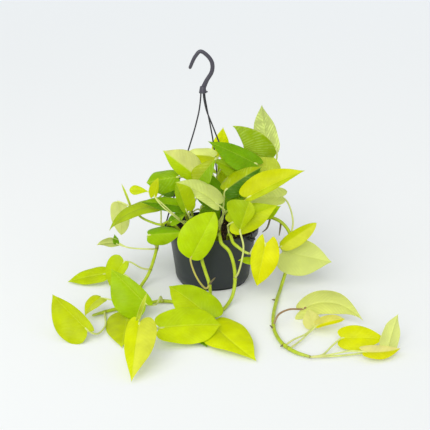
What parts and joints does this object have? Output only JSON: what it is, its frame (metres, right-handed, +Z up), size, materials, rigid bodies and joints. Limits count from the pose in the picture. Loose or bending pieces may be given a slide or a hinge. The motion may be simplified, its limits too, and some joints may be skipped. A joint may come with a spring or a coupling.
{
  "type": "potted golden pothos",
  "caption": "Golden pothos with lime-green heart-shaped leaves in a round dark plastic hanging pot, stood on a surface with its vines trailing over the rim.",
  "frame": {"origin": "middle of the underside of the pot, on the surface that it stands on", "axes": "+Z up, -Y towards the front that the picture shows, +X to the right of that view"},
  "size_m": [0.498, 0.5382, 0.3778],
  "materials": {
    "pot_plastic": "satin near-black moulded plastic",
    "growing_mix": "loose dark peat with pale grit",
    "hook_plastic": "satin dark grey moulded plastic",
    "strand_plastic": "thin dark plastic strand, slightly glossy",
    "foliage": "waxy lime-green living leaves, paler underneath, on smooth pale green stems"
  },
  "bodies": {
    "root": {"pot": "pot_plastic", "soil": "growing_mix", "hook": "hook_plastic", "strand_back": "strand_plastic", "strand_left": "strand_plastic", "strand_right": "strand_plastic", "vine_front_right": "foliage", "vine_front_left": "foliage", "vine_left_hanging": "foliage", "vine_left_reaching": "foliage", "vine_right": "foliage", "vine_right_front": "foliage", "vine_back": "foliage", "shoot_front_centre": "foliage", "shoot_left_front": "foliage", "shoot_left_back": "foliage", "shoot_back_centre": "foliage", "shoot_right_back": "foliage", "shoot_right": "foliage", "shoot_back_left": "foliage", "shoot_back": "foliage", "shoot_back_right": "foliage"}
  },
  "joints": []
}
